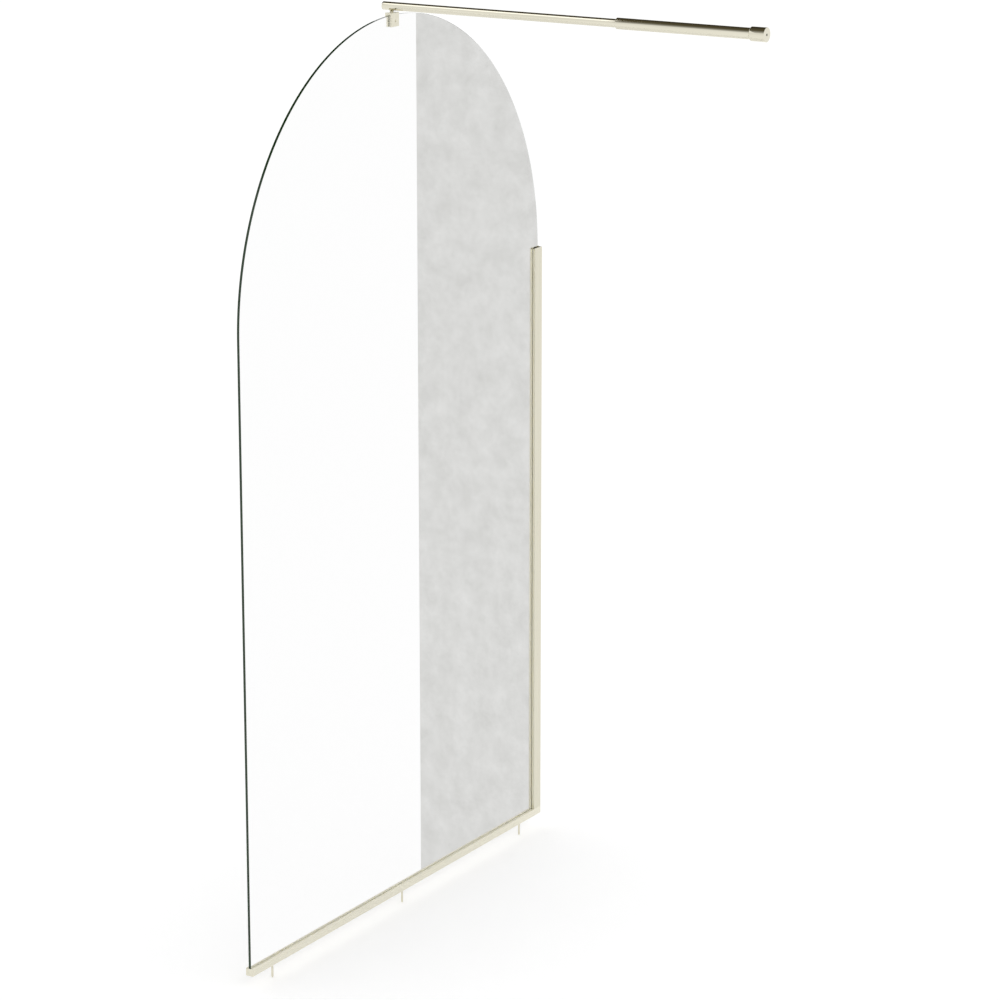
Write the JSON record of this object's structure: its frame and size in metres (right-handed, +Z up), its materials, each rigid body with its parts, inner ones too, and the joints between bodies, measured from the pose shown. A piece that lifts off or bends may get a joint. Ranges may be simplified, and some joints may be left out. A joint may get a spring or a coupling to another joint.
{
  "type": "walk-in shower screen",
  "caption": "Arched clear glass walk-in shower screen in slim champagne wall and floor channels, steadied by a telescopic swivel bar clamped to the top of the arch.",
  "frame": {"origin": "on the floor, under the middle of the floor channel, in the glass plane, midway between the outer floor pins", "axes": "+Z up; +X towards the wall that the wall channel is screwed to; the stabiliser bar runs along -Y"},
  "size_m": [1.2, 0.905, 2.032],
  "materials": {
    "clear_glass": "polished",
    "champagne_aluminium": "anodised satin",
    "champagne_steel": "coated, polished",
    "plain_steel": "plain",
    "seal_rubber": "soft, matt",
    "nylon": "moulded"
  },
  "bodies": {
    "screen": {"glass_panel": "clear_glass", "wall_channel": "champagne_aluminium", "floor_channel": "champagne_aluminium", "floor_channel_end_cap": "champagne_aluminium", "wall_gasket_front": "seal_rubber", "wall_gasket_back": "seal_rubber", "floor_gasket_front": "seal_rubber", "floor_gasket_back": "seal_rubber", "setting_block_free_end": "nylon", "setting_block_wall_end": "nylon", "floor_pin_free_end": "champagne_steel", "floor_pin_middle": "champagne_steel", "floor_pin_wall_end": "champagne_steel", "clamp_body": "champagne_steel", "clamp_pad_front": "seal_rubber", "clamp_pad_back": "seal_rubber", "clamp_pressure_plate": "plain_steel", "clamp_set_screw": "plain_steel", "swivel_washer": "nylon"},
    "inner_bar": {"swivel_pin": "plain_steel", "tube_saddle": "champagne_steel", "inner_tube_end_plug": "champagne_steel", "inner_tube": "champagne_steel", "inner_tube_guide": "nylon"},
    "outer_bar": {"outer_tube": "champagne_steel", "outer_tube_bush": "nylon", "tube_lock_screw": "plain_steel"},
    "bar_flange": {"wall_flange": "champagne_steel", "flange_grub_screw": "plain_steel"}
  },
  "joints": [
    {"name": "bar_swivel", "type": "hinge", "parent": "screen", "child": "inner_bar", "pos_m": [-0.015, 0, 1.971], "axis": [0, 0, 1], "range_deg": [-90, 90]},
    {"name": "bar_telescope", "type": "slide", "parent": "inner_bar", "child": "outer_bar", "axis": [0, -1, 0], "range_m": [-0.16, 0.13]},
    {"name": "flange_turn", "type": "hinge", "parent": "outer_bar", "child": "bar_flange", "pos_m": [-0.015, -0.87, 1.985], "axis": [0, -1, 0], "continuous": true}
  ]
}
